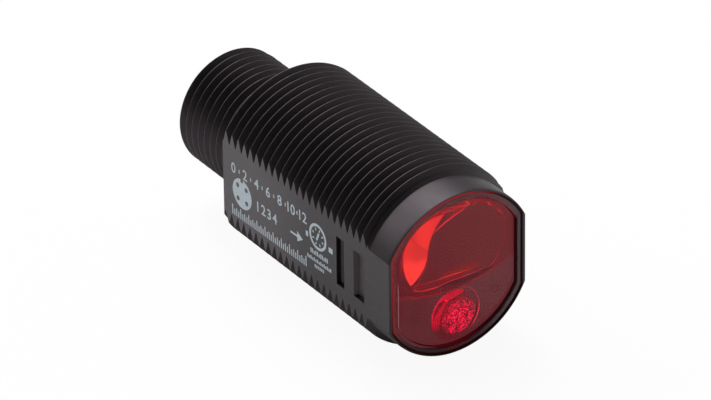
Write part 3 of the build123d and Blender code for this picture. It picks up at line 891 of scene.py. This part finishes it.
def number(name, digits, centre, low, height):
    """A plain number in ink, centred at centre along the barrel and standing on low."""
    digit_share = 0.70
    curve = bpy.data.curves.new(name, "FONT")
    curve.body = digits
    curve.size = height / digit_share
    curve.offset = 0.018
    curve.resolution_u = 3
    curve.extrude = (PRINT_FACE - BARREL_FLAT) / 2
    drawn = placed(name, curve)
    mesh = worked_out(drawn)
    bpy.data.objects.remove(drawn)
    reach = [v.co.x for v in mesh.vertices]
    shift = centre - (min(reach) + max(reach)) / 2
    middle = -(BARREL_FLAT + PRINT_FACE) / 2
    # the font lies in X and Y, and the print stands on the flat
    points = [(v.co.x + shift, middle - v.co.z, low + v.co.y) for v in mesh.vertices]
    return solid(name, points, [tuple(face.vertices) for face in mesh.polygons])


def tick_row(start, end, low, heights, pitch, width):
    """A row of upright strokes, with heights that repeat."""
    count = int(round((end - start) / pitch)) + 1
    row = []
    for step in range(count):
        x = start + pitch * step
        high = low + heights[step % len(heights)]
        row.append(inked("stroke", bar_points((x, low), (x, high), width)))
    return row


def marking():
    """A millimetre scale, the plug's pin numbers, the way the light goes and a plain dial."""
    films = []
    digit_height = 1.06
    for step in range(13):
        x = 1.75 + 0.94 * step
        if step % 2 == 0:
            films.append(number("number", str(step), x, 0.98, digit_height))
        else:
            films.append(inked("stroke", bar_points((x, 1.30), (x, 1.68), 0.16)))

    # the plug's face: a disc with its key and four holes
    face_x = 3.05
    face_z = -0.74
    pin = 0.70
    corners = ((1, 1), (-1, 1), (-1, -1), (1, -1))
    holes = [disc_points((face_x + pin * a, face_z + pin * b), 0.25, 24) for a, b in corners]
    holes.append(bar_points((face_x, face_z + 1.2), (face_x, face_z + 1.8), 0.40))
    films.append(inked("plug_face", disc_points((face_x, face_z), 1.55, 48), holes))
    for step in range(4):
        x = 5.60 + 0.92 * step
        films.append(number("pin_number", str(step + 1), x, -1.38, digit_height))
    films.append(inked("arrow_shaft", bar_points((10.9, -1.0), (12.0, -1.0), 0.22)))
    films.append(inked("arrow_head", [(12.0, -1.55), (12.9, -1.0), (12.0, -0.45)]))

    # the dial: a ring, eight ticks, a pointer and its two end stops
    dial = (15.37, 0.44)
    films.append(inked("dial", disc_points(dial, 1.36, 48), [disc_points(dial, 1.08, 48)]))
    for step in range(8):
        t = pi * (step + 0.5) / 4
        near, far = [(dial[0] + r * cos(t), dial[1] + r * sin(t)) for r in (0.66, 0.94)]
        films.append(inked("tick", bar_points(near, far, 0.15)))
    films.append(inked("pointer", bar_points((15.15, 0.05), (15.55, 0.90), 0.24)))
    films.append(inked("dial_low", bar_points((13.62, -0.22), (13.62, 0.30), 0.35)))
    films.append(inked("dial_high", bar_points((17.40, -0.30), (17.40, 0.24), 0.62)))
    films += tick_row(14.2, 16.7, -1.66, (0.50, 0.50, 0.36), 0.26, 0.16)
    films += tick_row(13.65, 17.3, -2.40, (0.40, 0.30), 0.26, 0.16)
    films += tick_row(14.8, 16.2, -3.00, (0.34,), 0.26, 0.16)
    films += tick_row(1.35, 13.3, -3.57, (1.06, 0.66, 0.84, 0.66), 0.332, 0.15)
    joined = bmesh.new()
    for film in films:
        joined.from_mesh(film.data)
        bpy.data.objects.remove(film)
    lean = Matrix.Rotation(radians(-1.7), 4, "Y")
    bmesh.ops.transform(joined, matrix=lean, verts=joined.verts)
    mesh = bpy.data.meshes.new("marking")
    joined.to_mesh(mesh)
    joined.free()
    mesh.transform(Matrix.Scale(MM, 4))
    mesh.materials.append(ink)
    piece = placed("marking", mesh)
    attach(piece, "root")
    return piece


# ---- The plug ----
def plug():
    """The threaded plug with its groove, its neck, the flange in the barrel and the open socket."""
    steps = 112
    piece = thread("plug", PLUG_CREST, PLUG_ROOT, M12_FIRST_CREST, -12.0, 0.0, steps)
    shoulder = [
        (PLUG_TIP - 0.5, 5.3),
        (PLUG_TIP + 0.25, 6.05),
        (-1.40, 6.05),
        (-0.70, 5.35),
        (-0.69, 5.30),
    ]
    combine(piece, turned("shoulder", shoulder, steps), "INTERSECT")
    core = [
        (PLUG_TIP - 0.4, PLUG_ROOT),
        (0.0, PLUG_ROOT),
        (0.0, PLUG_NECK),
        (0.25, PLUG_NECK),
        (0.25, PLUG_GROOVE),
        (0.95, PLUG_GROOVE),
        (0.95, PLUG_NECK),
        (1.6, PLUG_NECK),
    ]
    combine(piece, turned("core", core, steps), "UNION")
    flange = loft("flange", [double_d(x, PLUG_FLANGE, PLUG_FLANGE_FLAT) for x in (1.2, 2.2)])
    combine(piece, flange, "UNION")
    combine(piece, box("end", (PLUG_TIP, -9, -9), (9, 9, 9)), "INTERSECT")
    bore = [
        (PLUG_TIP - 1, SOCKET_BORE + SOCKET_LEAD),
        (PLUG_TIP, SOCKET_BORE + SOCKET_LEAD),
        (PLUG_TIP + SOCKET_LEAD, SOCKET_BORE),
        (SOCKET_FLOOR, SOCKET_BORE),
        (SOCKET_FLOOR, CARRIER_BORE),
        (3.0, CARRIER_BORE),
    ]
    socket = turned("socket", bore, steps)
    key = box("key", (PLUG_TIP + 1, -KEY_HALF, KEY_HEIGHT), (KEY_END, KEY_HALF, 4.85))
    combine(socket, key, "DIFFERENCE")
    combine(piece, socket, "DIFFERENCE")
    return dress(piece, "housing_plastic", moulded, replaces=["connector_shell"])


# ---- Window, gasket and lenses ----
def window():
    """The window from its back, over its edge and raised border, down to the floor of its dish."""
    radius = SEAT_RADIUS - WINDOW_PLAY
    half = SEAT_HALF - 0.01
    # each level: how far along it lies, its radius and half its width
    outline = [
        (WINDOW_HIDDEN, 7.90, 7.06),
        (WINDOW_BACK, 7.90, 7.06),
        (WINDOW_BACK, radius, half),
        (WINDOW_FACE - 0.02, radius, half),
        (WINDOW_FACE - 0.01, 8.025, 7.10),
        (WINDOW_FACE, 8.005, 7.08),
        (WINDOW_FACE, 7.45, 6.69),
        (WINDOW_FACE - 0.02, 7.435, 6.67),
        (DISH_FLOOR, 7.42, 6.60),
    ]
    piece = loft("window", [double_d(*level) for level in outline])
    # each face takes its finish from how far out it lies and which way it looks
    clear, border, edge, step, back, line = range(6)
    for face in piece.data.polygons:
        reach = max(Vector(piece.data.vertices[v].co[1:]).length for v in face.vertices)
        if face.center.x < WINDOW_BACK - 0.01:
            face.material_index = back
        elif face.normal.x > SQUARE:
            face.material_index = border if reach > 7.6 else clear
        elif reach > 7.8:
            face.material_index = line if face.normal.x > 0.9 else edge
        else:
            face.material_index = step
    finishes = (window_clear, window_border, window_edge, window_step, window_back, window_line)
    return dress(piece, "window_acrylic", *finishes, replaces=["front_window"])


def gasket():
    """The flat rubber ring under the window's rim."""
    levels = (WINDOW_HIDDEN, WINDOW_BACK)
    piece = loft("gasket", [double_d(x, WINDOW_RADIUS, WINDOW_FLAT) for x in levels])
    radius = WINDOW_RADIUS - GASKET_WIDTH
    half = WINDOW_FLAT - GASKET_WIDTH
    inside = loft("inside", [double_d(x, radius, half) for x in (25.0, 27.0)])
    combine(piece, inside, "DIFFERENCE")
    return dress(piece, "seal_rubber", rubber, replaces=["window_gasket"])


def lens_flange(name, upper):
    """The flange of a lens, on its side of the curved joint."""
    outline = double_d(0, FLANGE_REACH, FLANGE_HALF, 64)
    piece = loft(name, [[(x, y, z) for _, y, z in outline] for x in (FLANGE_BACK, LENS_FACE)])
    radius = DIVIDER_RADIUS + (-DIVIDER_GAP if upper else DIVIDER_GAP)
    ends = (FLANGE_BACK - 1, LENS_FACE + 1)
    rings = [circle(x, DIVIDER_SIDE, DIVIDER_CENTRE, radius, 160) for x in ends]
    combine(piece, loft("joint", rings), "INTERSECT" if upper else "DIFFERENCE")
    return piece


def ball(centre, radius):
    made = bmesh.new()
    bmesh.ops.create_icosphere(made, subdivisions=6, radius=radius)
    bmesh.ops.translate(made, verts=made.verts, vec=centre)
    mesh = bpy.data.meshes.new("ball")
    made.to_mesh(mesh)
    made.free()
    return placed("ball", mesh)


def domed(rings, tip, level, radius):
    """The body of a lens: a rod through rings of points, with a domed back whose tip is at tip."""
    dome = loft("dome", rings)
    return combine(dome, ball((tip + radius, 0, level), radius), "INTERSECT")


def lens_outline():
    """Round top, straight sides and a flat bottom with rounded corners."""
    half = 5.687
    top = 6.847
    bottom = -0.4
    corner = 1.5
    lean = atan(((top * top - half * half) ** 0.5) / half)
    points = []
    for i in range(49):
        t = lean + (pi - 2 * lean) * i / 48
        points.append((top * cos(t), top * sin(t)))
    for side, begin in ((-1, pi), (1, 1.5 * pi)):
        for i in range(9):
            t = begin + (pi / 2) * i / 8
            y = side * (half - corner) + corner * cos(t)
            points.append((y, bottom + corner + corner * sin(t)))
    return points


def receiver_lens():
    """The large lens, whose body has a flat bottom."""
    piece = lens_flange("receiving_lens", True)
    rings = [[(x, y, z) for y, z in lens_outline()] for x in (22.0, FLANGE_BACK + 0.3)]
    combine(piece, domed(rings, RECEIVER_TIP, RECEIVER_LEVEL, RECEIVER_BALL), "UNION")
    return dress(piece, "lens_acrylic", receiver_paint, replaces=["receiver_lens"])


def emitter_lens():
    """The small lens, whose body is round."""
    piece = lens_flange("emitting_lens", False)
    ends = (23.0, FLANGE_BACK + 0.3)
    rings = [circle(x, 0.0, EMITTER_LEVEL, EMITTER_BODY, 96) for x in ends]
    combine(piece, domed(rings, EMITTER_TIP, EMITTER_LEVEL, EMITTER_BALL), "UNION")
    return dress(piece, "lens_acrylic", emitter_paint, replaces=["emitter_lens"])


# ---- The pieces that are seen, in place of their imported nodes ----
moulded = moulded_black()
window_clear = window_clear_red()
window_border = window_border_red()
window_edge = window_edge_red("window_side_red", (0.006, 0.001, 0.001), (0.24, 0.0005, 0.004))
window_line = window_edge_red("window_line_red", (0.012, 0.002, 0.002), (0.42, 0.0002, 0.006))
window_step = window_step_red()
window_back = window_back_red()
receiver_paint = receiver_red()
emitter_paint = emitter_red()
ink = ink_grey()
rubber = rubber_black()

barrel()
marking()
plug()
window()
gasket()
receiver_lens()
emitter_lens()

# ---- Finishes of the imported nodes, which keep their own shapes ----
gold = gold_plate()
laminate = board_green()
carrier_black = plain_plastic("carrier_black", (0.012, 0.011, 0.012), (0.020, 0.018, 0.019), 0.5)
insert_black = plain_plastic("insert_black", (0.016, 0.015, 0.015), (0.026, 0.024, 0.024), 0.42)
potting = plain_plastic("potting_black", (0.010, 0.010, 0.010), (0.022, 0.021, 0.020), 0.25, 0.4)
chip_black = plain_plastic("chip_black", (0.012, 0.012, 0.013), (0.022, 0.022, 0.022), 0.5)
led_clear = plain_plastic("led_red", (0.55, 0.05, 0.04), (0.75, 0.10, 0.08), 0.12)
diode_dark = plain_plastic("diode_dark", (0.020, 0.010, 0.012), (0.035, 0.016, 0.018), 0.15)
tantalum = plain_plastic("tantalum_ochre", (0.55, 0.33, 0.07), (0.66, 0.42, 0.10), 0.35)
ceramic = plain_plastic("ceramic_tan", (0.42, 0.30, 0.19), (0.52, 0.38, 0.25), 0.5)
indicator = plain_plastic("indicator_yellow", (0.65, 0.48, 0.05), (0.80, 0.60, 0.10), 0.2)
tin = tinned_metal("tinned_pins", (0.55, 0.55, 0.56), (0.72, 0.72, 0.73))
steel = tinned_metal("can_steel", (0.50, 0.50, 0.51), (0.66, 0.66, 0.67))

NODE_FINISHES = (
    (moulded, "housing connector_shell"),
    (window_clear, "front_window"),
    (receiver_paint, "receiver_lens"),
    (emitter_paint, "emitter_lens"),
    (rubber, "window_gasket connector_seal"),
    (carrier_black, "optics_carrier emitter_hood"),
    (led_clear, "emitter_led"),
    (diode_dark, "photodiode"),
    (indicator, "indicator_led"),
    (laminate, "optics_board main_board"),
    (tin, "board_link_pins"),
    (steel, "shield_can"),
    (chip_black, "signal_chip voltage_regulator output_transistors protection_diode resistors"),
    (tantalum, "filter_capacitor"),
    (ceramic, "ceramic_capacitors"),
    (insert_black, "contact_carrier"),
    (potting, "contact_potting"),
    (gold, "contact_pin_1 contact_pin_2 contact_pin_3 contact_pin_4"),
)
for material, names in NODE_FINISHES:
    for name in names.split():
        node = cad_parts[name]
        node.data.materials.clear()
        node.data.materials.append(material)


# ---- Studio ----
def floor_finish():
    """White paper: it takes the part's shadow, and looks nearly white, also through the window."""
    finish = Finish("floor_paper")
    grain = finish.noise(30.0)
    paper = finish.node(
        "BsdfPrincipled",
        None,
        {
            "Base Color": finish.tint(grain, (0.86, 0.86, 0.86), (0.88, 0.88, 0.88)),
            "Roughness": 0.9,
            "Specular IOR Level": 0.1,
        },
    )
    seen = finish.node("LightPath", output="Is Camera Ray")
    seen = seen.most(finish.node("LightPath", output="Is Transmission Ray"))
    white = finish.node("Emission", None, {"Color": WHITE, "Strength": 1.0})
    mixed = finish.node("MixShader", None, {0: seen * 0.93, 1: paper, 2: white})
    finish.node("OutputMaterial", None, {"Surface": mixed})
    return finish.owner


def studio():
    """The sheet of paper that the barrel lies on, and a dim room that the eye sees as white."""
    reach = 3000
    low = -BARREL_CREST
    corners = ((-reach, -reach), (reach, -reach), (reach, reach), (-reach, reach))
    paper = solid("floor", [(x, y, low) for x, y in corners], [(0, 1, 2, 3)])
    paper.data.transform(Matrix.Scale(MM, 4))
    paper.data.materials.append(floor_finish())

    world = Finish("studio", "worlds")
    bpy.context.scene.world = world.owner
    room = world.node("Background", None, {"Color": WHITE, "Strength": 0.05})
    white = world.node("Background", None, {"Color": WHITE, "Strength": 1.0})
    seen = world.node("LightPath", output="Is Camera Ray")
    mixed = world.node("MixShader", None, {0: seen, 1: room, 2: white})
    world.node("OutputWorld", None, {"Surface": mixed})


def softbox(name, towards, distance, width, height, glow):
    """A soft lamp in a direction from the part. glow is how bright its face is; white is 1."""
    lamp = bpy.data.lights.new(name, "AREA")
    lamp.shape = "RECTANGLE"
    lamp.size = width
    lamp.size_y = height
    lamp.energy = glow * pi * width * height
    made = placed(name, lamp)
    direction = Vector(towards).normalized()
    made.location = Vector((0.010, 0, 0)) + direction * distance  # about the barrel's middle
    made.rotation_euler = direction.to_track_quat("Z", "Y").to_euler()


def camera():
    """The camera, which stands where the thread's diameter and pitch put it."""
    azimuth = radians(CAMERA_AZIMUTH)
    elevation = radians(CAMERA_ELEVATION)
    roll = radians(CAMERA_ROLL)
    back = Vector((sin(azimuth) * cos(elevation), -cos(azimuth) * cos(elevation), sin(elevation)))
    level = Vector((cos(azimuth), sin(azimuth), 0))
    upright = back.cross(level)
    right = cos(roll) * level + sin(roll) * upright
    up = cos(roll) * upright - sin(roll) * level
    aim = Vector((CAMERA_AIM, 0, 0)) + CAMERA_RIGHT * right + CAMERA_UP * up
    place = (aim + CAMERA_DISTANCE * back) * MM
    eye = bpy.data.cameras.new("camera")
    eye.sensor_width = FILM_WIDTH
    eye.lens = FOCAL_LENGTH / PICTURE_WIDTH * FILM_WIDTH
    eye.clip_start = 0.01
    eye.clip_end = 20.0
    made = placed("camera", eye)
    turn = Matrix((right, up, back)).transposed().to_4x4()
    made.matrix_world = Matrix.Translation(place) @ turn
    bpy.context.scene.camera = made


studio()
softbox("softbox_back", (-0.70, 0.03, 0.70), 0.8, 0.80, 0.86, 1.93)
softbox("softbox_top", (-0.35, 0.15, 0.93), 1.0, 0.65, 0.65, 4.70)
softbox("softbox_left", (-0.75, -0.50, 0.50), 1.0, 0.50, 0.50, 2.75)
softbox("softbox_right", (0.10, 1.0, 0.30), 1.0, 0.60, 0.60, 0.95)
softbox("softbox_front", (0.80, 0.55, 0.35), 1.0, 0.60, 0.60, 1.07)
softbox("softbox_behind", (-0.70, 0.75, 0.12), 1.0, 0.60, 0.40, 0.55)
camera()
bpy.context.scene.view_settings.view_transform = "Standard"
